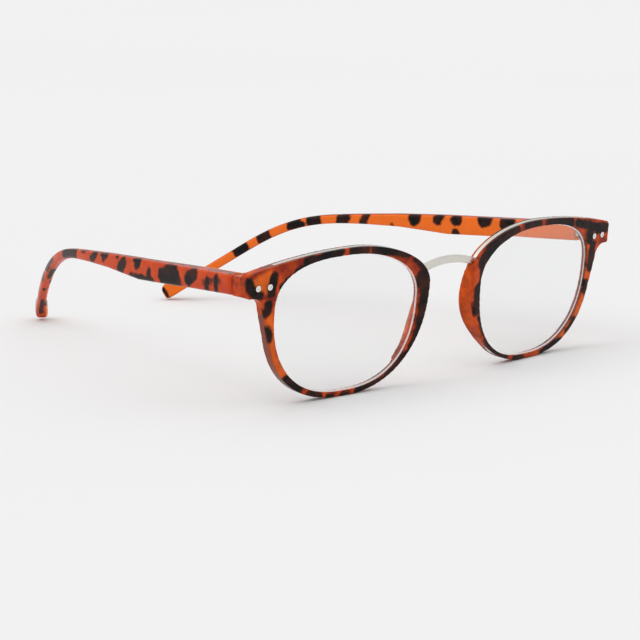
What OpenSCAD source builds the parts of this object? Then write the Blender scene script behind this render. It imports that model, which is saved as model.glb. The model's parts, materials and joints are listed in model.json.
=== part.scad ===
// Reading glasses: two plastic rims joined by an inlaid metal bridge, and two sprung temples.
// The front faces -Y, the temples run to +Y, +X is the wearer's left and +Z is up.
// The origin is on the ground, in the middle of the space the open glasses stand on.

/* [Lenses] */
// Width of one lens, the eye size
eye_size = 48; // [46:0.5:50]
// Gap between the two lenses, the bridge size
bridge_size = 21; // [19:0.5:23]
// Thickness of a lens at its edge
lens_edge = 1.0; // [0.8:0.1:1.2]
// How far the front of a lens domes forward
lens_dome = 0.7; // [0.3:0.1:0.8]

/* [Rims] */
// Depth of a rim from front to back
rim_depth = 2.7; // [2.5:0.1:3.2]
// How far a lens sits inside its groove
groove_depth = 0.9; // [0.6:0.1:1]
// How far each rim turns back towards the ear
wrap_angle = 4; // [2:0.5:6]
// How far the lower edge of the front tilts towards the face
tilt_angle = 4.8; // [3:0.1:7]
// How far a nose pad stands behind its rim
pad_rise = 2.5; // [1.5:0.1:3]

/* [Bridge] */
// Width of the metal strip, front to back
strip_w = 1.1; // [0.9:0.1:1.3]
// Thickness of the metal strip where it lies in a rim
strip_t = 0.6; // [0.4:0.1:0.7]
// Height of the arch between the rims
arch_h = 1.8; // [1.4:0.1:2.4]

/* [Temples] */
// Length of a temple along its centre line
temple_length = 140; // [135:1:145]
// Thickness of a temple at its root
temple_t = 3.4; // [3:0.1:3.8]
// Height of a temple at its root
temple_h = 4.8; // [4.4:0.1:5.2]
// How far a temple leans inward at its root
inward_root = 10; // [6:1:12]
// How far a temple leans inward at its tip
inward_tip = 41; // [30:1:45]
// How far a temple slopes down at its root
droop_root = 2.4; // [1:0.1:4]
// How far the ear bend slopes down at its tip
droop_tip = 32.3; // [25:0.1:40]

/* [Hinges] */
// Radius of a hinge screw's shank
screw_r = 0.5; // [0.4:0.05:0.55]
// Radius of a hinge knuckle
knuckle_r = 0.9; // [0.85:0.05:0.95]
// Gap between a temple and its end piece
seam_gap = 0.42; // [0.4:0.02:0.6]

/* [Hidden] */

$fn = 48;
outline_steps = 120;             // points round a lens or rim outline
fit_gap = 0.03;                  // clearance between pieces fixed to each other
run_gap = 0.05;                  // radial clearance of a turning or sliding fit
tortoise = [0.62, 0.2, 0.08];
metal = [0.8, 0.78, 0.74];

// Where the lenses stand
lens_x = (bridge_size + eye_size) / 2;
groove_front = 0.85;             // plastic in front of the lens edge

// Outlines in the plane of a rim: u runs outward and v runs up from the lens centre.
// Each is [half width outward, half width inward, height above, depth below] of its widest level.
half_w = eye_size / 2 - groove_depth;
opening = [half_w, half_w, 12.2, 21.5];
opening_centre = [0, 4.2];
opening_powers = [2.64, 2.1, 2.5, 2.3];
rim_sizes = [half_w + 2.95, half_w + 2.8, 11.05, 25.7];
rim_centre = [-0.75, 7.1];
rim_powers = [2.11, 1.94, 2.2, 2.5];
lens_z = (rim_sizes[3] - rim_centre.y) * cos(tilt_angle);

// The brow line: a shallow arc from the top of a rim out to its end piece
brow_u = -2;
brow_v = rim_centre.y + rim_sizes[2];
brow_r = 158;
brow_end_u = 31.1;
end_u = 31.8;                    // outer face of an end piece
end_bottom_v = 8.8;
notch_r = 3.4;                   // hollow under an end piece

// The bridge
strip_end_u = 23.3;              // where the strip stops, short of the end piece
strip_front = 1.05;              // plastic in front of the strip
arch_top_v = 12.4;
arch_r = 31.5;
arch_end_u = rim_centre.x - rim_sizes[1] + 2.2;
arch_half = lens_x + arch_end_u * cos(wrap_angle);
arch_back = 0.04;                // the arch lies this much behind the strips it joins
strip_root_angle = 163;          // where the strip leaves the rim for the arch

// Rivets through an end piece
rivet_u = [25.12, 28.68];
rivet_v = 11.2;
rivet_head_r = 0.75;
rivet_head_h = 0.5;
rivet_proud = 0.18;
rivet_shank_r = 0.5;
rivet_tail_r = 0.7;
rivet_tail_h = 0.35;

// A temple's centre line, from the middle of its end face
bow_start = 28;                  // where a temple starts to curve inward
bow_power = 1.8;
ear_start = 73;                  // where the ear bend starts and ends
ear_end = 114;
path_step = 4;
path_last = temple_length / path_step;
// How the upper edge, the lower edge and the thickness change along a temple: [distance, change]
upper_change = [[0, 0], [46, -0.1], [60, -0.35], [70, -0.75], [80, -1.15], [128, -1.15], [136, 0.7], [140, 0.5]];
lower_change = [[0, 0], [20, 0.2], [36, 0.5], [44, 0.6], [52, -0.1], [60, -0.8], [70, -1.1], [140, -1.15]];
thickness_change = [[0, 0], [30, -0.1], [80, -0.8], [128, -0.9], [136, 0.1], [140, -0.3]];
// How much further in the inner face stands, where the temple holds its spring housing
swell = [[0, 1.7], [16, 1.7], [40, 0], [140, 0]];
corner = 0.6;                    // chamfer of a temple's long edges

// Hinge parts, from the root: x outward, y back along the temple, z up
pivot_x = -2.1;
hollow_x = pivot_x + knuckle_r + 0.15;   // plastic stays outside this, round the knuckles
hollow_end = 2.8;
knuckle_top = 2.1;
knuckle_gap_z = 0.78;
screw_head_r = 0.8;
web_y = 2.3;
leaf_t = 0.8;
leaf_w = 6.8;
leaf_h = 3.4;
leaf_from = 23.5;
leaf_back = rim_depth + fit_gap + leaf_t;
neck_w = 1;
neck_end = 3.2;
rod_r = 0.3;
rod_end = 12.4;
nut_r = 0.62;
nut_from = 11.4;
nut_w = 0.8;
housing_from = 1.6;
housing_end = 14.2;
housing_w = 1.9;
housing_h = 2.4;
housing_bore_r = 0.7;
guide_end = 3.5;
wall_end = 4.2;
bore_end = 13.4;
wire_r = 0.13;
coil_r = 0.5;
coil_turns = 9;
anchors = [[6, 7.6, 3.4], [9.7, 11.7, 2.4]];   // legs set in the temple: from, to, height
anchor_depth = 2;

function sgn_pow(x, p) = sign(x) * pow(abs(x), p);
function smooth(q) = let (t = min(max(q, 0), 1)) t * t * (3 - 2 * t);

// A point of an outline made of four superellipse quadrants, at angle a, grown by g
function egg(size, powers, centre, a, g = 0) =
    let (c = cos(a), s = sin(a),
         n = s >= 0 ? (c >= 0 ? powers[0] : powers[1]) : (c < 0 ? powers[2] : powers[3]),
         w = (c >= 0 ? size[0] : size[1]) + g,
         h = (s >= 0 ? size[2] : size[3]) + g)
    [centre.x + w * sgn_pow(c, 2 / n), centre.y + h * sgn_pow(s, 2 / n)];
function egg_loop(size, powers, centre, g = 0) =
    [for (i = [0:outline_steps - 1]) egg(size, powers, centre, 360 * i / outline_steps, g)];
function opening_loop(g = 0) = egg_loop(opening, opening_powers, opening_centre, g);
function rim_loop(g = 0) = egg_loop(rim_sizes, rim_powers, rim_centre, g);

// A point of the brow line, raised by g
function brow(u, g = 0) =
    let (a = acos((u - brow_u) / brow_r)) [brow_u + (brow_r + g) * cos(a), brow_v - brow_r + (brow_r + g) * sin(a)];
function arc(centre, r, a0, a1, steps = 8) =
    [for (i = [0:steps]) let (a = a0 + (a1 - a0) * i / steps) centre + r * [cos(a), sin(a)]];

// Temple centre line: its heading turns inward and down along its length
function inward(s) = inward_root
    + (inward_tip - inward_root) * pow(max(s - bow_start, 0) / (temple_length - bow_start), bow_power);
function droop(s) = droop_root + (droop_tip - droop_root) * smooth((s - ear_start) / (ear_end - ear_start));
function heading(s) = [-sin(inward(s)) * cos(droop(s)), cos(inward(s)) * cos(droop(s)), -sin(droop(s))];
temple_path = [for (i = 0, p = [0, 0, 0]; i <= path_last; p = p + path_step * heading((i + 0.5) * path_step), i = i + 1)
    p];

// One eight-sided section of a temple, i steps along it
function temple_section(i) =
    let (s = i * path_step,
         p = temple_path[i] + (i == 0 ? seam_gap * heading(0) : [0, 0, 0]),
         out = [cos(inward(s)), sin(inward(s)), 0],
         up = cross(out, heading(s)),
         h = temple_h / 2 + lookup(s, upper_change),
         d = temple_h / 2 + lookup(s, lower_change),
         t = (temple_t + lookup(s, thickness_change)) / 2,
         b = t + lookup(s, swell),
         k = corner)
    [for (q = [[t, k - d], [t, h - k], [t - k, h], [k - b, h], [-b, h - k], [-b, k - d], [k - b, -d], [t - k, -d]])
        p + q[0] * out + q[1] * up];
temple_points = [for (i = [0:path_last], p = temple_section(i)) p];

// The root stands so high that the tip rests on the ground
root = [lens_x + 29.7, 6.7, -min([for (p = temple_points) p.z])];
front_y = min([for (p = rim_loop()) p.x * sin(wrap_angle) - p.y * sin(tilt_angle) * cos(wrap_angle)]);
back_y = root.y + max([for (p = temple_points) p.y]);
stand_y = (front_y + back_y) / 2;

// Places one side's pieces: side is 1 on the wearer's left and -1 on the right
module on_side(side) {
    translate([0, -stand_y, 0]) mirror([side > 0 ? 0 : 1, 0, 0]) children();
}
module in_rim() {
    translate([lens_x, 0, lens_z]) rotate([0, 0, wrap_angle]) rotate([tilt_angle, 0, 0]) children();
}
module at_hinge() {
    translate(root) rotate([0, 0, inward_root]) children();
}
// A flat outline given depth between two levels behind the rim's front face
module slab(from, to) {
    translate([0, to, 0]) rotate([90, 0, 0]) linear_extrude(to - from) children();
}
// A round bar running back from one level to another
module bar_back(r, from, to) {
    translate([0, to, 0]) rotate([90, 0, 0]) cylinder(r = r, h = to - from);
}

module end_piece_outline() {
    polygon(concat(
        [for (u = [brow_u:4:brow_end_u]) brow(u)],
        [brow(brow_end_u)],
        arc([end_u - 0.8, brow(brow_end_u).y - 1], 0.8, 60, 0, 4),
        arc([end_u - 0.8, end_bottom_v + 0.8], 0.8, 0, -90, 4),
        arc([end_u - 1.8, end_bottom_v - notch_r], notch_r, 90, 178),
        [[24.8, -1], [20, -1], [brow_u, 12]]));
}
module rim_outline() {
    polygon(rim_loop());
    end_piece_outline();
}
// The top edge of a rim that the metal strip lies in, from the arch out to the strip's end, raised by g
function strip_line(g) = concat(
    [for (i = [0:18]) egg(rim_sizes, rim_powers, rim_centre, strip_root_angle + (95 - strip_root_angle) * i / 18, g)],
    [for (i = [0:8]) brow(strip_end_u * i / 8, g)]);
module strip_band(depth, rise) {
    outer = strip_line(rise);
    inner = strip_line(-depth);
    polygon(concat(outer, [for (i = [len(inner) - 1:-1:0]) inner[i]]));
}

// The arch between the rims, grown by g on every side
module arch(g = 0) {
    translate([0, arch_end_u * sin(wrap_angle) + arch_back - stand_y, lens_z]) rotate([tilt_angle, 0, 0])
        slab(strip_front + fit_gap - g, strip_front + fit_gap + strip_w + g) intersection() {
            translate([0, arch_top_v - arch_r]) difference() {
                circle(r = arch_r + g, $fn = 180);
                circle(r = arch_r - arch_h - g, $fn = 180);
            }
            translate([-arch_half - g, 5]) square([2 * (arch_half + g), 12]);
        }
}

// Nose pad: a fin on the nasal edge, highest at its middle
pad_top = 174;
pad_bottom = 232;
pad_steps = 14;
function pad_section(i) =
    let (q = i / pad_steps,
         a = pad_top + (pad_bottom - pad_top) * q,
         out = egg(rim_sizes, rim_powers, rim_centre, a, -0.15),
         toward = (rim_centre - out) / norm(rim_centre - out),
         rise = rim_depth + pad_rise * pow(sin(180 * pow(q, 0.85)), 1.4),
         foot = out + 1.9 * toward,
         lip = out - 0.5 * sin(180 * q) * toward,
         heel = out + 1.1 * toward)
    [[out.x, rim_depth - 1, out.y],
     [foot.x, rim_depth - 1, foot.y],
     [foot.x, rim_depth - 0.05 + (rise - rim_depth) * 0.35, foot.y],
     [heel.x, rise, heel.y],
     [lip.x, rise - 0.5 * sin(180 * q), lip.y]];
function tube_faces(rings, sides) = concat(
    [[for (k = [sides - 1:-1:0]) k]],
    [for (i = [0:rings - 2], k = [0:sides - 1])
        [i * sides + k, i * sides + (k + 1) % sides, (i + 1) * sides + (k + 1) % sides, (i + 1) * sides + k]],
    [[for (k = [0:sides - 1]) (rings - 1) * sides + k]]);
module nose_pad() {
    polyhedron([for (i = [0:pad_steps], p = pad_section(i)) p], tube_faces(pad_steps + 1, 5));
}

// The part of an end piece that turns back to meet the temple
module end_block() {
    half = temple_t / 2;
    at_hinge() translate([0, 0, -temple_h / 2]) linear_extrude(temple_h)
        polygon([[half, 0], [hollow_x, 0], [hollow_x, -4.6], [half - 1.2, -5], [half - 0.35, -4.2]]);
}

module rim(side) {
    color(tortoise) difference() {
        on_side(side) rim_body();
        arch(0.1);
    }
}
module rim_body() {
    difference() {
        union() {
            in_rim() slab(0, rim_depth) rim_outline();
            in_rim() nose_pad();
            end_block();
        }
        in_rim() slab(-1, rim_depth + 0.01) polygon(opening_loop());
        in_rim() slab(groove_front, groove_front + lens_edge + 2 * fit_gap) polygon(opening_loop(groove_depth + fit_gap));
        in_rim() slab(strip_front, strip_front + strip_w + 2 * fit_gap) strip_band(strip_t + fit_gap, 3);
        in_rim() for (u = rivet_u) translate([u, 0, rivet_v]) {
            bar_back(rivet_shank_r + fit_gap, -1, rim_depth + 1);
            bar_back(rivet_head_r + fit_gap, -1, rivet_head_h - rivet_proud + fit_gap);
            bar_back(rivet_tail_r + 0.1, rim_depth, rim_depth + leaf_t + rivet_tail_h + 0.2);
        }
        in_rim() leaf_foot(fit_gap);
    }
}

module lens(side) {
    front = groove_front + fit_gap;
    reach = 27;
    color([0.9, 0.95, 0.97, 0.4]) on_side(side) in_rim() {
        slab(front, front + lens_edge) polygon(opening_loop(groove_depth));
        intersection() {
            slab(front - lens_dome - 0.1, front + lens_edge) polygon(opening_loop(-0.1));
            translate([0, front, 0]) rotate([90, 0, 0]) rotate_extrude() polygon(concat(
                [for (i = [0:8]) let (r = reach * i / 8) [r, lens_dome * (1 - r * r / (reach * reach))]],
                [[reach, -0.5], [0, -0.5]]));
        }
    }
}

module bridge() {
    color(metal) {
        for (side = [-1, 1]) on_side(side) in_rim()
            slab(strip_front + fit_gap, strip_front + fit_gap + strip_w) strip_band(strip_t, 0);
        arch();
    }
}

module rivets(side) {
    color(metal) on_side(side) in_rim() for (u = rivet_u) translate([u, 0, rivet_v]) {
        difference() {
            bar_back(rivet_head_r, -rivet_proud, rivet_head_h - rivet_proud);
            bar_back(rivet_head_r * 0.45, -rivet_proud - 0.1, -rivet_proud + 0.12);
        }
        bar_back(rivet_shank_r, 0, leaf_back + rivet_tail_h);
        bar_back(rivet_tail_r, leaf_back + fit_gap, leaf_back + rivet_tail_h);
    }
}

// A ring of knuckle round the hinge's screw, between two heights
module knuckle(from, to, web) {
    translate([pivot_x, 0, from]) difference() {
        union() {
            cylinder(r = knuckle_r, h = to - from);
            translate(web[0]) cube([web[1].x, web[1].y, to - from]);
        }
        translate([0, 0, -1]) cylinder(r = screw_r + run_gap, h = to - from + 2);
    }
}
module hinge_leaf(side) {
    web = [[-knuckle_r, -web_y, 0], [2 * knuckle_r, web_y]];
    color(metal) on_side(side) difference() {
        union() {
            in_rim() leaf_foot();
            intersection() {
                at_hinge() {
                    knuckle(-knuckle_top, -knuckle_gap_z, web);
                    knuckle(knuckle_gap_z, knuckle_top, web);
                }
                in_rim() translate([0, rim_depth + fit_gap, 0]) cube([40, 10, 30]);
            }
        }
        in_rim() for (u = rivet_u) translate([u, 0, rivet_v]) bar_back(rivet_shank_r + fit_gap, 0, 6);
    }
}
// The plate of a hinge leaf, grown by g on every side
module leaf_foot(g = 0) {
    translate([leaf_from - g, leaf_back - leaf_t - g, rivet_v - leaf_h / 2 - g])
        cube([leaf_w + 2 * g, leaf_t + 2 * g, leaf_h + 2 * g]);
}

module hinge_screw(side) {
    color(metal) on_side(side) at_hinge() translate([pivot_x, 0, 0]) difference() {
        union() {
            translate([0, 0, -knuckle_top - 0.2]) cylinder(r = screw_r, h = 2 * knuckle_top + 0.4);
            translate([0, 0, knuckle_top + run_gap]) cylinder(r = screw_head_r, h = 0.5);
        }
        translate([-1.5, -0.15, knuckle_top + 0.35]) cube([3, 0.3, 1]);
    }
}

module hinge_slider(side) {
    half = knuckle_gap_z - 0.06;
    color(metal) on_side(side) at_hinge() difference() {
        union() {
            translate([pivot_x, 0, -half]) cylinder(r = knuckle_r, h = 2 * half);
            translate([pivot_x - neck_w / 2, 0, -half]) cube([neck_w, neck_end, 2 * half]);
            translate([pivot_x, 0, 0]) bar_back(rod_r, neck_end - 0.2, rod_end);
        }
        translate([pivot_x, 0, -3]) cylinder(r = screw_r + run_gap, h = 6);
    }
}

module slider_nut(side) {
    color(metal) on_side(side) at_hinge() translate([pivot_x, 0, 0]) difference() {
        bar_back(nut_r, nut_from, nut_from + nut_w);
        bar_back(rod_r + fit_gap, nut_from - 1, nut_from + nut_w + 1);
    }
}

// Coil spring as separate rings of wire, one a turn
module hinge_spring(side) {
    pitch = (nut_from - wall_end - 2 * wire_r - 2 * fit_gap) / (coil_turns - 1);
    color(metal) on_side(side) at_hinge() for (i = [0:coil_turns - 1])
        translate([pivot_x, wall_end + fit_gap + wire_r + i * pitch, 0]) rotate([90, 0, 0])
            rotate_extrude() translate([coil_r, 0]) circle(r = wire_r, $fn = 16);
}

module spring_housing(side) {
    color(metal) on_side(side) at_hinge() {
        difference() {
            translate([pivot_x - housing_w / 2, housing_from, -housing_h / 2])
                cube([housing_w, housing_end - housing_from, housing_h]);
            translate([pivot_x - neck_w / 2 - run_gap, housing_from - 1, -knuckle_gap_z])
                cube([neck_w + 2 * run_gap, guide_end - housing_from + 1, 2 * knuckle_gap_z]);
            translate([pivot_x, 0, 0]) bar_back(rod_r + run_gap, guide_end - 0.5, wall_end + 0.5);
            translate([pivot_x, 0, 0]) bar_back(housing_bore_r, wall_end, bore_end);
        }
        for (a = anchors) translate([pivot_x + housing_w / 2 - 0.1, a[0], -a[2] / 2])
            cube([anchor_depth + 0.1, a[1] - a[0], a[2]]);
    }
}

// The hollow in a temple that takes its spring housing, and the step back from the knuckles
module temple_hollow() {
    reach = 6;
    translate([hollow_x - reach, -1, -reach / 2]) cube([reach, 1 + hollow_end, reach]);
    translate([pivot_x - housing_w / 2 - fit_gap, 0, -housing_h / 2 - fit_gap])
        cube([housing_w + 2 * fit_gap, housing_end + fit_gap, housing_h + 2 * fit_gap]);
    for (a = anchors) translate([pivot_x, a[0] - fit_gap, -a[2] / 2 - fit_gap])
        cube([housing_w / 2 + anchor_depth + fit_gap, a[1] - a[0] + 2 * fit_gap, a[2] + 2 * fit_gap]);
}
module temple(side) {
    color(tortoise) on_side(side) difference() {
        translate(root) polyhedron(temple_points, tube_faces(path_last + 1, 8));
        at_hinge() temple_hollow();
    }
}

rim(1);  // rim_left
rim(-1);  // rim_right
lens(1);  // lens_left
lens(-1);  // lens_right
bridge();
rivets(1);  // rivets_left
rivets(-1);  // rivets_right
hinge_leaf(1);  // hinge_leaf_left
hinge_leaf(-1);  // hinge_leaf_right
hinge_screw(1);  // hinge_screw_left
hinge_screw(-1);  // hinge_screw_right
hinge_slider(1);  // hinge_slider_left
hinge_slider(-1);  // hinge_slider_right
slider_nut(1);  // slider_nut_left
slider_nut(-1);  // slider_nut_right
hinge_spring(1);  // hinge_spring_left
hinge_spring(-1);  // hinge_spring_right
spring_housing(1);  // spring_housing_left
spring_housing(-1);  // spring_housing_right
temple(1);  // temple_left
temple(-1);  // temple_right
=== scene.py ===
"""Reading glasses in tortoiseshell plastic: the looks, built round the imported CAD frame."""

import json
import math

import bmesh
import bpy
from mathutils import Matrix, Vector


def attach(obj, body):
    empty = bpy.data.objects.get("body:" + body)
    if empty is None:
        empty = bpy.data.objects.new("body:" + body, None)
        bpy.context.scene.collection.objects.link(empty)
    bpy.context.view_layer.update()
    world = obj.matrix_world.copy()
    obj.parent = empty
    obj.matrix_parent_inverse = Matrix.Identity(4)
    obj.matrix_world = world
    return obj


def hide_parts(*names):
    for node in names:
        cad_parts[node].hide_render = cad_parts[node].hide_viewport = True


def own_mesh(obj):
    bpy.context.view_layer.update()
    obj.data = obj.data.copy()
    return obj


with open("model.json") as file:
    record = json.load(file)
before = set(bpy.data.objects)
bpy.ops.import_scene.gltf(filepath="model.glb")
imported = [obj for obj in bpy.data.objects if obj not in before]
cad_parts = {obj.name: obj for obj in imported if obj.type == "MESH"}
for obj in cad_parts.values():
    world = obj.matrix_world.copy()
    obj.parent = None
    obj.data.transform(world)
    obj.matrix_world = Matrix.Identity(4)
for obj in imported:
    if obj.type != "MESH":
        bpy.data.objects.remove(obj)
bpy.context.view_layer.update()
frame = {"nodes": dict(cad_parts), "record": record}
JOINTS = {joint["name"]: joint for joint in frame["record"]["behaviour"]["joints"]}

MM = 0.001

# The design's own sizes, in millimetres and degrees
LENS_X = 34.5
WRAP = 4.0
TILT = 4.8
RIM_CENTRE = (-0.75, 7.1)
RIM_BELOW = 25.7
LENS_Z = (RIM_BELOW - RIM_CENTRE[1]) * math.cos(math.radians(TILT))
RIM_DEPTH = 2.7
OPENING_SIZE = (23.1, 23.1, 12.2, 21.5)
OPENING_CENTRE = (0.0, 4.2)
OPENING_POWERS = (2.64, 2.1, 2.5, 2.3)
GROOVE_DEPTH = 0.9
GROOVE_FRONT = 0.88
LENS_EDGE = 1.0
LENS_DOME = 0.7
LENS_HOLLOW = 0.4
LENS_REACH = 27.0
TEMPLE_LENGTH = 140.0
SEAM_GAP = 0.42
INWARD_ROOT = 10.0
INWARD_TIP = 41.0
BOW_START = 28.0
BOW_POWER = 1.8
DROOP_ROOT = 2.4
DROOP_TIP = 32.3
EAR_START = 73.0
EAR_END = 114.0
PIVOT_X = -2.1
ROOT_Y = 6.7

# Where the temple's root is, worked out from the left fold joint
pivot = [value / MM for value in JOINTS["left_fold"]["pos_m"]]
ROOT = Vector((pivot[0] - PIVOT_X * math.cos(math.radians(INWARD_ROOT)),
               pivot[1] - PIVOT_X * math.sin(math.radians(INWARD_ROOT)),
               pivot[2]))
STAND_Y = ROOT_Y - ROOT.y


# ---------------------------------------------------------------- small tools

def lookup(table, at):
    """Straight-line interpolation in a table of (place, value) pairs."""
    for (a, low), (b, high) in zip(table, table[1:]):
        if at <= b:
            return low + (high - low) * max(at - a, 0.0) / (b - a)
    return table[-1][1]


def smooth_step(q):
    q = min(max(q, 0.0), 1.0)
    return q * q * (3 - 2 * q)


def signed_power(x, p):
    return math.copysign(abs(x) ** p, x)


def egg(size, powers, centre, angle, grow=0.0):
    """A point of an outline made of four superellipse quadrants, as in the CAD."""
    c = math.cos(angle)
    s = math.sin(angle)
    if s >= 0:
        power = powers[0] if c >= 0 else powers[1]
    else:
        power = powers[2] if c < 0 else powers[3]
    wide = (size[0] if c >= 0 else size[1]) + grow
    high = (size[2] if s >= 0 else size[3]) + grow
    return (centre[0] + wide * signed_power(c, 2 / power), centre[1] + high * signed_power(s, 2 / power))


def rim_matrix(side):
    """From a rim's own millimetres (out, back, up) to the shared frame in metres."""
    local = (Matrix.Translation((LENS_X, 0, LENS_Z))
             @ Matrix.Rotation(math.radians(WRAP), 4, "Z")
             @ Matrix.Rotation(math.radians(TILT), 4, "X"))
    return side_matrix(side) @ local


def side_matrix(side):
    mirror = Matrix.Diagonal((side, 1, 1, 1))
    return Matrix.Scale(MM, 4) @ Matrix.Translation((0, -STAND_Y, 0)) @ mirror


def hinge_matrix(side):
    """From millimetres out, back and up from a temple's root to the shared frame in metres."""
    turn = Matrix.Rotation(math.radians(INWARD_ROOT), 4, "Z")
    return side_matrix(side) @ Matrix.Translation(ROOT + Vector((0, STAND_Y, 0))) @ turn


def new_object(name, data):
    piece = bpy.data.objects.new(name, data)
    bpy.context.scene.collection.objects.link(piece)
    return piece


def mesh_from(name, points, faces):
    mesh = bpy.data.meshes.new(name)
    mesh.from_pydata(points, [], faces)
    mesh.update()
    return mesh


def tube_mesh(name, rings):
    """A closed skin over rings of points, with a fan over each end."""
    sides = len(rings[0])
    points = [p for ring in rings for p in ring]
    faces = []
    for i in range(len(rings) - 1):
        for k in range(sides):
            a = i * sides + k
            b = i * sides + (k + 1) % sides
            faces.append((a, b, b + sides, a + sides))
    for first, ring, turn in ((0, rings[0], -1), ((len(rings) - 1) * sides, rings[-1], 1)):
        middle = sum((Vector(p) for p in ring), Vector()) / sides
        points.append(tuple(middle))
        hub = len(points) - 1
        for k in range(sides):
            edge = (first + k, first + (k + 1) % sides)
            faces.append((edge[0], edge[1], hub)[::turn])
    return mesh_from(name, points, faces)


def finish_mesh(mesh, matrix):
    """Moves a mesh into the shared frame, with its faces outward and smooth."""
    mesh.transform(matrix)
    work = bmesh.new()
    work.from_mesh(mesh)
    bmesh.ops.recalc_face_normals(work, faces=work.faces)
    for face in work.faces:
        face.smooth = True
    work.to_mesh(mesh)
    work.free()
    mesh.update()


def applied(piece):
    """The piece's mesh with its modifiers applied."""
    graph = bpy.context.evaluated_depsgraph_get()
    mesh = bpy.data.meshes.new_from_object(piece.evaluated_get(graph))
    piece.modifiers.clear()
    old = piece.data
    piece.data = mesh
    bpy.data.meshes.remove(old)
    return mesh


def rounded_copy(name, node, voxel, passes):
    """A copy of a CAD node with its edges rounded over, in millimetres."""
    mesh = frame["nodes"][node].data.copy()
    mesh.materials.clear()
    mesh.transform(Matrix.Scale(1 / MM, 4))
    piece = new_object(name, mesh)
    remesh = piece.modifiers.new("remesh", "REMESH")
    remesh.mode = "VOXEL"
    remesh.voxel_size = voxel
    remesh.use_smooth_shade = True
    soften = piece.modifiers.new("soften", "SMOOTH")
    soften.factor = 0.5
    soften.iterations = passes
    applied(piece)
    return piece


def store(mesh, name, values):
    """Stores one number for each point, for the plastic's material to read."""
    mesh.attributes.new(name, "FLOAT", "POINT").data.foreach_set("value", values)


NO_SPOT = -3.0           # a depth far outside any spot
FADE = 3.0               # how steeply a spot shrinks beyond the faces that it belongs to


def spot_depth(spots, x, y):
    """How far (x, y) lies inside the nearest of some rounded strokes (x0, y0, x1, y1, radius)."""
    best = NO_SPOT
    for x0, y0, x1, y1, radius in spots:
        dx = x1 - x0
        dy = y1 - y0
        long = dx * dx + dy * dy
        t = min(max(((x - x0) * dx + (y - y0) * dy) / long, 0.0), 1.0) if long else 0.0
        best = max(best, radius - math.hypot(x - x0 - t * dx, y - y0 - t * dy))
    return best


# ---------------------------------------------------------------- materials

class Nodes:
    """A material's node tree, with short calls to add and join nodes."""

    def __init__(self, name):
        self.material = bpy.data.materials.new(name)
        self.material.use_nodes = True
        self.tree = self.material.node_tree
        self.shader = self.tree.nodes["Principled BSDF"]
        self.output = self.tree.nodes["Material Output"]

    def add(self, kind, **settings):
        node = self.tree.nodes.new(kind)
        for key, value in settings.items():
            if key in node.inputs:
                node.inputs[key].default_value = value
            else:
                setattr(node, key, value)
        return node

    def join(self, source, target):
        self.tree.links.new(source, target)

    def math(self, operation, a, b=None):
        node = self.add("ShaderNodeMath", operation=operation)
        for socket, value in zip(node.inputs, (a, b)):
            if value is None:
                continue
            if isinstance(value, (int, float)):
                socket.default_value = value
            else:
                self.join(value, socket)
        return node.outputs[0]

    def noise(self, scale, detail=2.0, roughness=0.5):
        """Noise whose scale is in waves per millimetre."""
        node = self.add("ShaderNodeTexNoise", Scale=scale / MM, Detail=detail, Roughness=roughness)
        self.join(self.place(), node.inputs["Vector"])
        return node.outputs["Fac"]

    def place(self):
        return self.add("ShaderNodeTexCoord").outputs["Object"]

    def stored(self, name):
        """A number that the mesh stores for each point."""
        return self.add("ShaderNodeAttribute", attribute_name=name).outputs["Fac"]

    def ramp(self, value, *stops):
        node = self.add("ShaderNodeValToRGB")
        ramp = node.color_ramp
        while len(ramp.elements) < len(stops):
            ramp.elements.new(0.5)
        for element, (position, colour) in zip(ramp.elements, stops):
            element.position = position
            element.color = (*colour, 1)
        self.join(value, node.inputs["Fac"])
        return node.outputs["Color"]

    def blend(self, factor, a, b):
        node = self.add("ShaderNodeMix", data_type="RGBA")
        for socket, value in ((node.inputs[0], factor), (node.inputs[6], a), (node.inputs[7], b)):
            if isinstance(value, tuple):
                socket.default_value = (*value, 1)
            elif isinstance(value, (int, float)):
                socket.default_value = value
            else:
                self.join(value, socket)
        return node.outputs[2]

    def bump(self, height, strength, distance):
        node = self.add("ShaderNodeBump", Strength=strength, Distance=distance * MM)
        self.join(height, node.inputs["Height"])
        self.join(node.outputs["Normal"], self.shader.inputs["Normal"])

    def set(self, **values):
        for key, value in values.items():
            self.shader.inputs[key.replace("_", " ")].default_value = value


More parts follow.
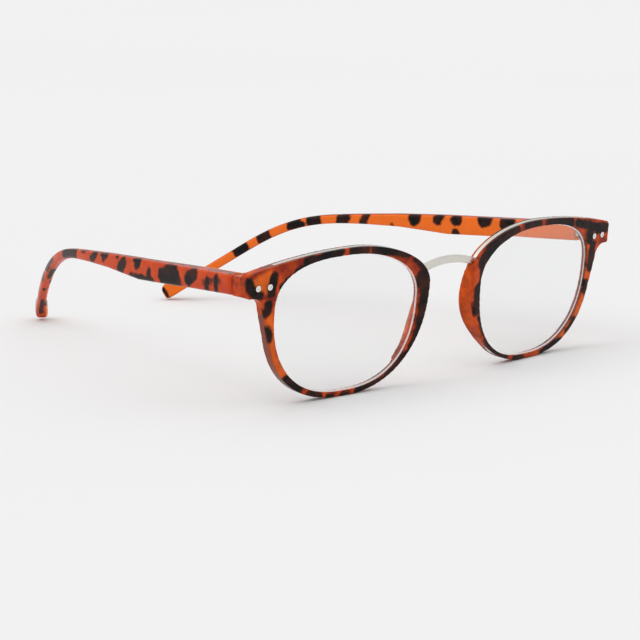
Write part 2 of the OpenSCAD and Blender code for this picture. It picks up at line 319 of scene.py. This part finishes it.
def tortoiseshell(name, light, deep, grow, shine):
    """Glossy plastic, light to deep orange, with near-black spots grown by so many millimetres.

    Shine is how much light comes through where the mesh's glow is 1; where it is -1, the
    plastic is dull.
    """
    n = Nodes(name)
    ragged = n.math("MULTIPLY", n.math("SUBTRACT", n.noise(0.45, 4.0, 0.6), 0.5), 2.0)
    depth = n.math("ADD", n.stored("spot_depth"), ragged)
    edge = n.math("MULTIPLY", n.math("ADD", depth, grow), 1.1)
    mask = n.ramp(n.math("ADD", edge, 0.5), (0.2, (0, 0, 0)), (0.5, (0.6, 0.6, 0.6)), (0.85, (1, 1, 1)))
    cloud = n.ramp(n.noise(0.2, 4.0, 0.6), (0.36, (0, 0, 0)), (0.62, (1, 1, 1)))
    body = n.blend(cloud, light, deep)
    glow = n.stored("glow")
    lit = n.blend(n.math("MULTIPLY", glow, -1.0), n.blend(glow, body, GLOWING), DULL)
    dark = n.ramp(n.noise(0.22, 3.0), (0.4, (0.007, 0.005, 0.005)), (0.7, (0.05, 0.013, 0.008)))
    n.join(n.blend(mask, lit, dark), n.shader.inputs["Base Color"])
    see = n.ramp(mask, (0.0, (0.1, 0.1, 0.1)), (1.0, (0.0, 0.0, 0.0)))
    n.join(see, n.shader.inputs["Transmission Weight"])
    clear = n.math("MULTIPLY", glow, n.math("SUBTRACT", 1.0, mask))
    through = n.math("MULTIPLY", n.math("MAXIMUM", clear, 0.0), shine)
    n.join(through, n.shader.inputs["Emission Strength"])
    n.bump(n.noise(0.35, 2.0), 0.06, 0.25)
    n.set(Emission_Color=(1.0, 0.4, 0.08, 1), Roughness=0.24, IOR=1.45, Specular_IOR_Level=0.1,
          Coat_Weight=0.04, Coat_Roughness=0.08)
    return n.material


def clear_lens():
    """Clear glass that lets the lamps' light through to what is behind it."""
    n = Nodes("clear_lens")
    n.set(Base_Color=(0.95, 0.955, 0.955, 1), Roughness=0.0, IOR=1.5, Transmission_Weight=1.0)
    clear = n.add("ShaderNodeBsdfTransparent", Color=(0.95, 0.96, 0.955, 1))
    mix = n.add("ShaderNodeMixShader")
    n.join(n.add("ShaderNodeLightPath").outputs["Is Shadow Ray"], mix.inputs["Fac"])
    n.join(n.shader.outputs[0], mix.inputs[1])
    n.join(clear.outputs[0], mix.inputs[2])
    n.join(mix.outputs[0], n.output.inputs["Surface"])
    return n.material


def glowing_ground_edge():
    """The lens's edge as it left the grinder: white and matt, with a painted glow for the light that the
    glass carries to it.
    """
    n = Nodes("glowing_ground_edge")
    tone = n.ramp(n.noise(1.5, 2.0), (0.3, (0.9, 0.9, 0.9)), (0.7, (0.97, 0.97, 0.97)))
    n.join(tone, n.shader.inputs["Base Color"])
    # The emission paints a glow on the edge, standing in for light carried through the glass.
    n.set(Roughness=0.6, Transmission_Weight=0.3, Emission_Color=(1, 1, 1, 1), Emission_Strength=0.3)
    return n.material


def brushed(name, colour, roughness, stretch=(1, 1, 1), contrast=0.12):
    """Satin metal with fine lines along its length."""
    n = Nodes(name)
    lines = n.add("ShaderNodeMapping")
    lines.inputs["Scale"].default_value = stretch
    n.join(n.place(), lines.inputs["Vector"])
    grain = n.add("ShaderNodeTexNoise", Scale=6 / MM, Detail=3.0)
    n.join(lines.outputs[0], grain.inputs["Vector"])
    low = tuple(c * (1 - contrast) for c in colour)
    n.join(n.ramp(grain.outputs["Fac"], (0.3, low), (0.7, colour)), n.shader.inputs["Base Color"])
    rough = n.math("ADD", n.math("MULTIPLY", grain.outputs["Fac"], 0.14), roughness - 0.07)
    n.join(rough, n.shader.inputs["Roughness"])
    n.bump(grain.outputs["Fac"], 0.1, 0.03)
    n.set(Metallic=1.0)
    return n.material


def pale_floor():
    n = Nodes("pale_floor")
    tone = n.ramp(n.noise(0.002, 2.0), (0.3, (0.80, 0.80, 0.80)), (0.7, (0.81, 0.81, 0.81)))
    n.join(tone, n.shader.inputs["Base Color"])
    n.set(Roughness=1.0, Specular_IOR_Level=0.0)
    return n.material


GLOWING = (1.0, 0.19, 0.008)         # orange with the light showing through it
DULL = (0.27, 0.07, 0.045)           # the brown of the rims' outward walls
FRONT_PLASTIC = tortoiseshell("tortoiseshell_front", (0.72, 0.085, 0.005), (0.24, 0.018, 0.006), 0.3, 0.06)
TEMPLE_PLASTIC = tortoiseshell("tortoiseshell_temples", (0.66, 0.07, 0.005), (0.53, 0.045, 0.007), 0.2, 0.2)
GLASS = clear_lens()
GLOWING_GROUND_EDGE = glowing_ground_edge()
BRIDGE_METAL = brushed("bridge_metal", (0.74, 0.72, 0.66), 0.3, (0.05, 1, 1))
HINGE_METAL = brushed("hinge_metal", (0.62, 0.61, 0.59), 0.28)
POLISHED_METAL = brushed("polished_metal", (0.8, 0.79, 0.76), 0.18, contrast=0.06)
SPRING_STEEL = brushed("spring_steel", (0.5, 0.5, 0.5), 0.3)


# ---------------------------------------------------------------- rims

# Dark strokes on the front faces: out, up, out, up, radius
RIM_SPOTS = {
    -1: [
        (-25.9, 6.5, -25.2, -3.0, 2.2), (-24.8, -3.5, -22.4, -9.0, 1.6), (-22.2, -9.5, -14.5, -15.4, 1.1),
        (-24.4, 8.2, -25.0, 8.5, 2.4), (-26.0, 9.0, -21.5, 13.6, 0.9), (-19.0, 15.0, -11.5, 16.8, 1.1),
        (-12.0, 16.6, -7.6, 17.2, 1.3), (-4.6, 17.2, -0.4, 17.3, 1.1), (3.6, 17.4, 14.0, 16.0, 1.0),
        (8.5, 16.3, 13.5, 15.2, 0.7), (14.0, 15.2, 17.0, 14.1, 0.7), (16.5, 13.6, 21.5, 10.8, 0.6),
        (24.0, 13.4, 24.6, 9.6, 1.0), (31.6, 12.4, 29.2, 9.8, 1.1), (29.2, 9.8, 27.8, 9.4, 0.8),
        (25.2, 6.8, 25.7, 5.0, 1.0), (25.0, 1.0, 24.4, -1.4, 0.75), (18.2, -12.4, 14.6, -15.3, 1.2),
        (10.6, -16.7, 8.0, -17.7, 1.1), (5.0, -18.0, 3.5, -18.2, 0.5), (0.5, -18.2, -1.5, -18.2, 0.5),
        (-5.0, -18.0, -13.0, -16.5, 1.0),
    ],
    1: [
        (-23.4, 9.8, -19.5, 13.0, 1.4), (-20.5, 12.4, -10.0, 16.8, 1.6), (-5.5, 17.5, 0.0, 17.5, 1.0),
        (-14.0, 15.4, -9.5, 16.6, 1.0), (4.0, 17.3, 14.2, 16.0, 1.1), (17.0, 15.6, 30.6, 12.9, 1.0),
        (23.0, 12.6, 23.4, 10.5, 1.3), (26.6, 13.0, 29.6, 12.6, 0.9), (24.9, 8.8, 24.6, 3.0, 1.2),
        (23.5, -1.0, 23.0, -3.4, 0.7), (19.4, -11.2, 16.8, -13.8, 0.9), (14.0, -15.8, 6.0, -17.9, 0.8),
        (-24.2, 3.0, -24.0, -2.6, 1.3), (-22.9, 8.4, -23.4, 4.0, 0.7), (-22.4, -4.6, -17.4, -13.2, 0.9),
        (-16.4, -14.2, -10.0, -17.2, 0.9), (-6.0, -18.0, -3.0, -18.2, 0.8),
    ],
}
# Places where the light shows through the front: out, up, out, up, radius
RIM_GLOW = {
    -1: [(25.5, 12.5, 28.5, 11.5, 2.6), (24.6, 4.0, 23.2, -6.0, 1.0), (22.6, -7.0, 18.0, -12.5, 1.1)],
    1: [(21.5, 8.0, 21.0, -6.0, 2.2), (20.5, -7.0, 14.0, -15.0, 2.4)],
}
PATTERN_DEPTH = 0.7      # how far behind the front face the pattern reaches
BACK_PATTERN_DEPTH = 0.3     # and how far forward of the back
NASAL_SIDE = -17.0       # further in, the nose pads and the backs beside them are plain
EDGE_FROM = 0.12         # how far behind the front face the duller brown of the walls begins
EDGE_FADE = 0.3          # it comes and goes over this depth
WALL_SPREAD = 8.0        # and from the rim's middle out to here
FACE_GLOW = 0.4          # the most light that shows through a front face
PAD_GLOW = 0.12          # and through the nose pads and the inner walls
END_PIECE_FROM = 26.3    # how far out the end piece leaves the rim
PAD_FROM = RIM_DEPTH + 0.15
PAD_FADE = 0.6           # the pad's extra rounding grows over this depth
PAD_PASSES = 40
RIM_VOXEL = 0.17
RIM_PASSES = 6


def make_rim(side, label):
    node = f"rim_{label}"
    piece = rounded_copy(f"{node}_shell", node, RIM_VOXEL, RIM_PASSES)
    to_rim = rim_matrix(side).inverted() @ Matrix.Scale(MM, 4)
    soften_pad(piece, to_rim)
    mesh = piece.data
    places = [to_rim @ vertex.co for vertex in mesh.vertices]
    store(mesh, "spot_depth", [rim_pattern(side, *place) for place in places])
    store(mesh, "glow", [rim_glow(side, *place) for place in places])
    finish_mesh(mesh, Matrix.Scale(MM, 4))
    mesh.materials.append(FRONT_PLASTIC)
    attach(piece, "front")
    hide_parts(node)


def rim_pattern(side, u, w, v):
    """Spots on the front face and, from the other rim's pattern, on the back, fading out down the walls."""
    past_front = max(w - PATTERN_DEPTH, 0.0)
    before_back = max(RIM_DEPTH - BACK_PATTERN_DEPTH - w, 0.0)
    past_back = before_back + max(w - RIM_DEPTH, 0.0) + max(NASAL_SIDE - u, 0.0)
    front = spot_depth(RIM_SPOTS[side], u, v) - FADE * past_front
    back = spot_depth(RIM_SPOTS[-side], u, v) - FADE * past_back
    return max(front, back)


def rim_glow(side, u, w, v):
    """Up to 1 where the light shows through the plastic; down to -1 on the dull outward walls."""
    if w > PATTERN_DEPTH and u < 0:
        return PAD_GLOW
    if EDGE_FROM < w < RIM_DEPTH and 0 < u < END_PIECE_FROM:
        wall = smooth_step((w - EDGE_FROM) / EDGE_FADE) * smooth_step((RIM_DEPTH - w) / EDGE_FADE - 0.3)
        return -wall * smooth_step(u / WALL_SPREAD)
    return FACE_GLOW * smooth_step(spot_depth(RIM_GLOW[side], u, v) + 0.5)


def soften_pad(piece, to_rim):
    """Rounds the nose pad more than the rest of its rim."""
    group = piece.vertex_groups.new(name="pad")
    for vertex in piece.data.vertices:
        place = to_rim @ vertex.co
        if place.y > PAD_FROM and place.x < 0:
            group.add([vertex.index], smooth_step((place.y - PAD_FROM) / PAD_FADE), "REPLACE")
    soften = piece.modifiers.new("soften", "SMOOTH")
    soften.factor = 0.5
    soften.iterations = PAD_PASSES
    soften.vertex_group = "pad"
    applied(piece)
    piece.vertex_groups.clear()


# ---------------------------------------------------------------- lenses

LENS_STEPS = 160
LENS_RINGS = 20
LENS_MIDDLE = 0.002                  # the first ring's share of the full outline
LENS_GROWN = GROOVE_DEPTH - 0.06     # the lens's edge, from the rim's opening
LENS_DROP = 4.0                      # the rings start this far below the widest level
LENS_PLAY = 0.02                     # the glass stays this far inside the CAD lens
BEVEL_INSETS = (1.04, 0.5, 0.0)      # from the edge: the matt ring's two sides, then the edge itself


def lens_loop(inset):
    """An outline that runs this far inside the lens's edge."""
    turns = [2 * math.pi * k / LENS_STEPS for k in range(LENS_STEPS)]
    return [egg(OPENING_SIZE, OPENING_POWERS, OPENING_CENTRE, turn, LENS_GROWN - inset) for turn in turns]


def lens_surface(w_edge, rise):
    """One face of a lens, as rings that grow from its middle to its edge."""
    full = lens_loop(BEVEL_INSETS[0])
    up = OPENING_CENTRE[1] - LENS_DROP
    loops = []
    for i in range(LENS_RINGS):
        share = max(i / (LENS_RINGS - 0.5), LENS_MIDDLE)
        loops.append([(u * share, up + (v - up) * share) for u, v in full])
    loops += [full] + [lens_loop(inset) for inset in BEVEL_INSETS[1:]]
    rings = []
    for loop in loops:
        ring = []
        for x, z in loop:
            bulge = max(1 - (x * x + z * z) / LENS_REACH ** 2, 0.0)
            ring.append((x, w_edge - rise * bulge, z))
        rings.append(ring)
    return rings


def make_lens(side, label):
    """A lens with a domed front and a hollow back, ground matt round its edge."""
    front = lens_surface(GROOVE_FRONT + LENS_PLAY, LENS_DOME - 2 * LENS_PLAY)
    hind = lens_surface(GROOVE_FRONT + LENS_EDGE - LENS_PLAY, LENS_HOLLOW)
    mesh = tube_mesh(f"lens_{label}_glass", front + hind[::-1])
    mesh.materials.append(GLASS)
    mesh.materials.append(GLOWING_GROUND_EDGE)
    edge_band = len(front) - 1
    back_ring = edge_band + 2
    for band in (edge_band, back_ring):
        for face in mesh.polygons[band * LENS_STEPS:(band + 1) * LENS_STEPS]:
            face.material_index = 1
    finish_mesh(mesh, rim_matrix(side))
    piece = new_object(f"lens_{label}_glass", mesh)
    sharpen(piece)
    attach(piece, "front")
    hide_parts(f"lens_{label}")


def sharpen(piece, degrees=30):
    """Keeps edges sharper than this angle crisp."""
    work = bmesh.new()
    work.from_mesh(piece.data)
    for edge in work.edges:
        edge.smooth = edge.calc_face_angle(math.pi) < math.radians(degrees)
    work.to_mesh(piece.data)
    work.free()


# ---------------------------------------------------------------- bridge

BRIDGE_VOXEL = 0.11
BRIDGE_PASSES = 3


def make_bridge():
    piece = rounded_copy("bridge_strip", "bridge", BRIDGE_VOXEL, BRIDGE_PASSES)
    finish_mesh(piece.data, Matrix.Scale(MM, 4))
    piece.data.materials.append(BRIDGE_METAL)
    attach(piece, "front")
    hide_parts("bridge")


# ---------------------------------------------------------------- temples

# Sizes along a temple, in millimetres: (distance, size)
ABOVE = [(0, 2.4), (46, 2.3), (60, 2.05), (70, 1.65), (80, 1.25), (128, 1.25), (136, 3.1), (140, 2.9)]
BELOW = [(0, 2.4), (20, 2.6), (36, 2.9), (44, 3.0), (52, 2.3), (60, 1.6), (70, 1.3), (140, 1.25)]
THICK = [(0, 3.4), (30, 3.3), (80, 2.6), (128, 2.5), (136, 3.5), (140, 3.1)]
SWELL = [(0, 1.7), (16, 1.7), (40, 0), (140, 0)]
HOLLOW_X = 1.05          # the end face stops this far inside the centre line, clear of the hinge
HOLLOW_END = 2.81
HOLLOW_LIP = 0.2         # how much the first section past the hollow is drawn in
SEAM_ROUNDING = ((0.0, 0.88), (0.05, 0.95), (0.18, 1.0))     # past the seam: distance, share of full size
SAMPLE = 0.5
WALK_STEP = 0.1
CORNER = 0.75
CORNER_STEPS = 4
SIDE_STEPS = 6
CROWN = 0.1
ROUNDED_END = 2.2
END_STEPS = 11
# The hollow for the spring housing and its two anchors: x, y and z ranges from the root
HOLLOWS = [
    ((-3.08, -1.12), (0.2, 14.23), (-1.23, 1.23)),
    ((-1.6, 0.88), (5.97, 7.63), (-1.73, 1.73)),
    ((-1.6, 0.88), (9.67, 11.73), (-1.23, 1.23)),
]

# Dark strokes on the temples' faces: along, up, along, up, radius
OUTER_SPOTS = [
    (17.0, 1.0, 19.4, -0.4, 1.6), (26.4, 0.3, 25.2, -1.8, 2.4), (26.0, -2.0, 31.4, -2.0, 1.4),
    (28.8, 0.5, 32.0, -0.6, 1.5), (37.8, -0.3, 37.9, -2.2, 1.0), (36.6, -2.8, 46.8, -2.7, 1.1),
    (42.4, 1.8, 45.0, 1.7, 0.7), (43.4, 1.0, 44.2, 0.5, 0.9), (50.6, 0.8, 52.6, -1.3, 1.25),
    (54.0, 1.9, 54.6, 1.8, 0.3), (60.0, 1.6, 62.4, 1.5, 0.9), (61.4, 0.9, 61.8, 0.7, 0.9),
    (66.6, 1.4, 68.6, -0.2, 1.0), (73.4, 1.2, 75.0, 1.1, 0.35), (79.8, 0.4, 87.6, 0.3, 1.4),
    (99.0, 0.7, 106.0, 0.2, 0.9), (110.0, 0.6, 113.5, 0.1, 0.8), (121.0, 0.7, 123.0, 0.2, 0.5),
    (133.0, 0.8, 137.5, -0.2, 0.6),
    # The first two strokes below are painted shade: the hinge's two anchors and their shadow, seen through
    # the plastic.
    (7.0, 1.1, 7.3, -2.5, 0.75), (11.0, 0.0, 11.2, -2.0, 0.85), (1.4, 0.9, 1.5, 0.1, 0.2),
]
INNER_SPOTS = [
    (23.0, 2.4, 24.0, 1.4, 2.0), (30.6, 2.6, 31.2, 1.8, 2.2), (40.4, 2.2, 40.7, 1.0, 1.6),
    (46.2, 2.1, 46.7, 1.0, 1.4), (54.2, 2.0, 54.6, 0.8, 1.7), (41.0, -2.6, 41.0, -2.3, 1.0),
    (61.8, -1.2, 61.9, -1.0, 0.35),
    (70.2, 1.4, 71.6, -1.2, 1.1), (77.4, 1.2, 78.6, -1.2, 1.8), (87.2, 1.0, 87.6, -1.2, 2.2),
    (91.6, -0.7, 94.4, -0.7, 1.2), (93.0, 1.0, 94.6, 0.4, 1.6), (104.2, 1.0, 104.2, -1.0, 2.0),
    (112.4, 1.0, 112.6, -1.0, 2.4), (127.0, 0.8, 129.0, -0.8, 1.6), (138.9, 2.0, 139.2, -0.8, 0.35),
]
# Dark strokes on the undersides: along, outward, along, outward, radius
UNDER_SPOTS = [(104.0, 0.2, 110.0, 0.0, 0.7), (118.0, 0.5, 119.0, 0.4, 0.45), (126.0, 0.1, 135.5, 0.3, 0.5)]
HINGE_SHADE = [(5.5, 0.4, 13.5, -0.6, 1.5)]    # painted shade: the hinge's metal and the shadow it casts inside the plastic, showing dimly through the outer face
HINGE_SHADE_DEPTH = 0.9    # how far below the surface it seems to lie
FACE_HAZE = -0.28        # the outer faces' tone between the spots, as a depth
TOP_HAZE = -0.24         # the upper edges are a duller brown
FACE_SHARE = 0.72        # a point further out than this share of the half width is on a face
TOP_FROM = 0.1           # past a face by this share, a point is on the upper edge
UNDER_FROM = 0.3         # and by this share, well on the underside
ROUND_FADE = 6.0         # how steeply the faces' spots shrink round the edges
INNER_GLOW = 4.0         # how steeply the inner face's glow fades round the edges
DIMPLE = (135.6, 0.8, 1.6, 0.5)      # along, up, radius, depth


def inward(s):
    turn = max(s - BOW_START, 0.0) / (TEMPLE_LENGTH - BOW_START)
    return math.radians(INWARD_ROOT + (INWARD_TIP - INWARD_ROOT) * turn ** BOW_POWER)


def droop(s):
    turn = smooth_step((s - EAR_START) / (EAR_END - EAR_START))
    return math.radians(DROOP_ROOT + (DROOP_TIP - DROOP_ROOT) * turn)


def heading(s):
    """The way the temple points at this distance along it."""
    return Vector((-math.sin(inward(s)) * math.cos(droop(s)),
                   math.cos(inward(s)) * math.cos(droop(s)),
                   -math.sin(droop(s))))


def temple_stations():
    """Distances for the sections, each with how much of its full size the section has."""
    stations = [(SEAM_GAP + past, share) for past, share in SEAM_ROUNDING]
    stations += [(HOLLOW_END + past, 1.0) for past in (-0.02, 0.0, 0.2)]
    s = HOLLOW_END + 0.4
    while s < TEMPLE_LENGTH - ROUNDED_END:
        stations.append((s, 1.0))
        s += SAMPLE
    for i in range(1, END_STEPS + 1):
        q = math.sin(math.pi / 2 * i / END_STEPS)
        stations.append((TEMPLE_LENGTH - ROUNDED_END + ROUNDED_END * q, max((1 - q ** 3) ** (1 / 3), 0.02)))
    return stations


def section(half, up, down, share):
    """A rounded rectangle with crowned faces, as points from the outer face round by the top."""
    radius = min(CORNER, half * 0.9, up * 0.9, down * 0.9)
    corners = ((half - radius, up - radius, 0), (radius - half, up - radius, 90),
               (radius - half, radius - down, 180), (half - radius, radius - down, 270))
    ring = []
    for i, (x, y, turn) in enumerate(corners):
        for k in range(CORNER_STEPS + 1):
            a = math.radians(turn + 90 * k / CORNER_STEPS)
            ring.append((x + radius * math.cos(a), y + radius * math.sin(a)))
        nx, ny = corners[(i + 1) % 4][:2]
        a = math.radians(turn + 90)
        ex = radius * math.cos(a)
        ey = radius * math.sin(a)
        for k in range(1, SIDE_STEPS):
            ring.append((x + ex + (nx - x) * k / SIDE_STEPS, y + ey + (ny - y) * k / SIDE_STEPS))
    crowned = []
    for x, y in ring:
        crown = CROWN * share * (1 - (y / max(up, down)) ** 2)
        crowned.append((x * share + math.copysign(crown, x), y * share))
    return crowned


def inner_half(s):
    """How far in the inner face stands: stepped back at the hinge, then swollen over the housing."""
    if s < HOLLOW_END:
        return HOLLOW_X
    lip = HOLLOW_LIP if s < HOLLOW_END + 0.1 else 0.0
    return lookup(THICK, s) / 2 + lookup(SWELL, s) - lip


def dimple(s, x, y):
    """How far the hollow in the paddle's inner face moves a point."""
    along, up, radius, deep = DIMPLE
    near = ((s - along) ** 2 + (y - up) ** 2) / radius ** 2
    return deep * (1 - near) ** 1.5 if x < 0 and near < 1 else 0.0


def temple_centres(distances):
    """Points of the temple's centre line, from its root, at rising distances along it."""
    centre = Vector()
    walked = 0.0
    centres = []
    for s in distances:
        while walked + WALK_STEP <= s:
            centre += WALK_STEP * heading(walked + WALK_STEP / 2)
            walked += WALK_STEP
        centres.append(centre + (s - walked) * heading(s))
    return centres


def temple_tone(s, x, y, edge):
    """How far inside a dark spot a point of the skin is, and how much light shows through it."""
    spots = OUTER_SPOTS if x > 0 else INNER_SPOTS
    # Near the hinge the outer face gets painted shade, for its metal and that metal's shadow seen dimly
    # through the plastic.
    hinge_shade = spot_depth(HINGE_SHADE, s, y) if x > 0 else NO_SPOT
    base = TOP_HAZE if edge > TOP_FROM and y > 0 else min(hinge_shade - HINGE_SHADE_DEPTH, FACE_HAZE)
    under = spot_depth(UNDER_SPOTS, s, x) - FADE * max(UNDER_FROM - edge, 0.0) if y < 0 else NO_SPOT
    glow = 0.0 if x > 0 else smooth_step(0.5 - INNER_GLOW * edge)
    return max(spot_depth(spots, s, y) - ROUND_FADE * edge, under, base), glow


def temple_ring(s, share, centre):
    """The temple's section at this distance along it, with the tone of each of its points."""
    across = Vector((math.cos(inward(s)), math.sin(inward(s)), 0))
    lift = across.cross(heading(s))
    outer = lookup(THICK, s) / 2
    half = (outer + inner_half(s)) / 2 - CROWN
    shift = (outer - inner_half(s)) / 2
    ring = []
    tones = []
    for x, y in section(half, lookup(ABOVE, s), lookup(BELOW, s), share):
        edge = max(FACE_SHARE - abs(x) / (half + CROWN), 0.0)
        tones.append(temple_tone(s, x, y, edge))
        place = across * (x + shift + dimple(s, x, y)) + lift * y
        ring.append(tuple(ROOT + Vector((0, STAND_Y, 0)) + centre + place))
    return ring, tones


def make_temple(side, label):
    stations = temple_stations()
    centres = temple_centres([s for s, share in stations])
    rings = []
    tones = []
    for (s, share), centre in zip(stations, centres):
        ring, ring_tones = temple_ring(s, share, centre)
        rings.append(ring)
        tones += ring_tones
    tones += 2 * [(NO_SPOT, 0.0)]       # the middles of the two ends
    mesh = tube_mesh(f"temple_{label}_arm", rings)
    store(mesh, "spot_depth", [depth for depth, glow in tones])
    store(mesh, "glow", [glow for depth, glow in tones])
    finish_mesh(mesh, side_matrix(side))
    piece = new_object(f"temple_{label}_arm", mesh)
    for ranges in HOLLOWS:
        carve(piece, ranges, side)
    piece.data.materials.append(TEMPLE_PLASTIC)
    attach(piece, f"{label}_temple")
    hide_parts(f"temple_{label}")


def carve(piece, ranges, side):
    """Cuts a box out of a piece; the box's x, y and z ranges are from the temple's root."""
    xs, ys, zs = ranges
    corners = [hinge_matrix(side) @ Vector((x, y, z)) for z in zs for y in ys for x in xs]
    faces = [(0, 1, 3, 2), (4, 6, 7, 5), (0, 4, 5, 1), (2, 3, 7, 6), (0, 2, 6, 4), (1, 5, 7, 3)]
    mesh = mesh_from("cutter", [tuple(p) for p in corners], faces)
    finish_mesh(mesh, Matrix.Identity(4))
    cutter = new_object("cutter", mesh)
    cut = piece.modifiers.new("cut", "BOOLEAN")
    cut.operation = "DIFFERENCE"
    cut.solver = "EXACT"
    cut.object = cutter
    applied(piece)
    bpy.data.objects.remove(cutter)
    bpy.data.meshes.remove(mesh)


# ---------------------------------------------------------------- hinges

def finish_metal(node, material, width):
    """Gives a CAD piece its metal and breaks its sharp edges."""
    piece = frame["nodes"][node]
    piece.data.materials.clear()
    piece.data.materials.append(material)
    bevel = piece.modifiers.new("broken_edges", "BEVEL")
    bevel.width = width * MM
    bevel.segments = 2
    bevel.limit_method = "ANGLE"
    bevel.angle_limit = math.radians(50)
    bevel.harden_normals = True


# The coil springs, in millimetres from a temple's root along it
WIRE_R = 0.13
WIRE_SIDES = 10
COIL_R = 0.5
COIL_TURNS = 9
COIL_STEPS = 28                      # sections in each turn
COIL_FROM = 4.25
COIL_TO = 11.35


def make_spring(side, label):
    """The coil spring as one helix of wire along the slider's rod."""
    matrix = hinge_matrix(side)
    rings = []
    total = COIL_TURNS * COIL_STEPS
    for i in range(total + 1):
        a = 2 * math.pi * i / COIL_STEPS
        y = COIL_FROM + WIRE_R + (COIL_TO - COIL_FROM - 2 * WIRE_R) * i / total
        out = Vector((math.cos(a), 0, math.sin(a)))
        middle = Vector((PIVOT_X, y, 0)) + COIL_R * out
        ring = []
        for k in range(WIRE_SIDES):
            b = 2 * math.pi * k / WIRE_SIDES
            ring.append(tuple(middle + WIRE_R * (math.cos(b) * out + math.sin(b) * Vector((0, 1, 0)))))
        rings.append(ring)
    mesh = tube_mesh(f"spring_{label}_coil", rings)
    finish_mesh(mesh, matrix)
    mesh.materials.append(SPRING_STEEL)
    piece = new_object(f"spring_{label}_coil", mesh)
    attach(piece, f"{label}_temple")
    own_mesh(piece)
    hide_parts(f"hinge_spring_{label}")


# ---------------------------------------------------------------- stage

CAMERA_AZIMUTH = -44.92
CAMERA_ELEVATION = 10.47
CAMERA_DISTANCE = 577.23
CAMERA_ROLL = 0.39
CAMERA_TARGET = (-51.71, -7.83, 22.14)
CAMERA_LENS = 139.4


def make_camera():
    azimuth = math.radians(CAMERA_AZIMUTH)
    elevation = math.radians(CAMERA_ELEVATION)
    roll = math.radians(CAMERA_ROLL)
    back = Vector((math.sin(azimuth) * math.cos(elevation),
                   -math.cos(azimuth) * math.cos(elevation),
                   math.sin(elevation)))
    right = Vector((0, 0, 1)).cross(back).normalized()
    up = back.cross(right)
    across = math.cos(roll) * right + math.sin(roll) * up
    upward = math.cos(roll) * up - math.sin(roll) * right
    camera = new_object("camera", bpy.data.cameras.new("camera"))
    turn = Matrix((across, upward, back)).transposed().to_4x4()
    target = Vector(CAMERA_TARGET) - Vector((0, STAND_Y, 0))
    camera.matrix_world = Matrix.Translation((target + CAMERA_DISTANCE * back) * MM) @ turn
    camera.data.lens = CAMERA_LENS
    camera.data.sensor_width = 36.0
    camera.data.clip_start = 0.01
    camera.data.clip_end = 50.0
    bpy.context.scene.camera = camera


# The soft lamps: the way to each, how wide it looks in degrees, and its strength
LAMPS = {
    "overhead": ((-0.15, 0.0, 1.0), 70.0, 0.3),
    "left": ((-0.9, 0.3, 1.0), 45.0, 0.6),
}
SKY_LOW = 0.6
SKY_HIGH = 1.0
SKY_SEEN = 0.887                     # what the camera sees past the floor's edge, as bright as the floor


def make_lamp(name, toward, spread, strength):
    data = bpy.data.lights.new(name, "SUN")
    data.energy = strength
    data.angle = math.radians(spread)
    lamp = new_object(name, data)
    lamp.rotation_mode = "QUATERNION"
    lamp.rotation_quaternion = (-Vector(toward)).to_track_quat("-Z", "Y")


def make_sky():
    """White light, brightest overhead; seen directly it matches the floor."""
    world = bpy.data.worlds.new("soft_white")
    world.use_nodes = True
    tree = world.node_tree
    background = tree.nodes["Background"]
    background.inputs["Color"].default_value = (1, 1, 1, 1)
    coords = tree.nodes.new("ShaderNodeTexCoord")
    split = tree.nodes.new("ShaderNodeSeparateXYZ")
    tree.links.new(coords.outputs["Generated"], split.inputs[0])
    height = tree.nodes.new("ShaderNodeMapRange")
    height.inputs["To Min"].default_value = SKY_LOW
    height.inputs["To Max"].default_value = SKY_HIGH
    tree.links.new(split.outputs["Z"], height.inputs["Value"])
    path = tree.nodes.new("ShaderNodeLightPath")
    seen = tree.nodes.new("ShaderNodeMath")
    seen.operation = "MAXIMUM"
    tree.links.new(path.outputs["Is Camera Ray"], seen.inputs[0])
    tree.links.new(path.outputs["Is Transmission Ray"], seen.inputs[1])
    mix = tree.nodes.new("ShaderNodeMix")
    mix.inputs[3].default_value = SKY_SEEN
    tree.links.new(seen.outputs[0], mix.inputs[0])
    tree.links.new(height.outputs["Result"], mix.inputs[2])
    tree.links.new(mix.outputs[0], background.inputs["Strength"])
    bpy.context.scene.world = world


FLOOR_HALF = 30.0


def make_stage():
    corners = [(x * FLOOR_HALF, y * FLOOR_HALF, 0) for x, y in ((-1, -1), (1, -1), (1, 1), (-1, 1))]
    mesh = mesh_from("floor", corners, [(0, 1, 2, 3)])
    mesh.materials.append(pale_floor())
    floor = new_object("floor", mesh)
    make_sky()
    for name, (toward, spread, strength) in LAMPS.items():
        make_lamp(name, toward, spread, strength)
    bpy.context.scene.view_settings.view_transform = "Standard"


# ---------------------------------------------------------------- build

for side, label in ((1, "left"), (-1, "right")):
    make_rim(side, label)
    make_lens(side, label)
    make_temple(side, label)
    make_spring(side, label)
    finish_metal(f"rivets_{label}", POLISHED_METAL, 0.08)
    finish_metal(f"hinge_screw_{label}", POLISHED_METAL, 0.06)
    finish_metal(f"hinge_leaf_{label}", HINGE_METAL, 0.08)
    finish_metal(f"hinge_slider_{label}", HINGE_METAL, 0.06)
    finish_metal(f"slider_nut_{label}", HINGE_METAL, 0.06)
    finish_metal(f"spring_housing_{label}", HINGE_METAL, 0.2)
make_bridge()
make_camera()
make_stage()
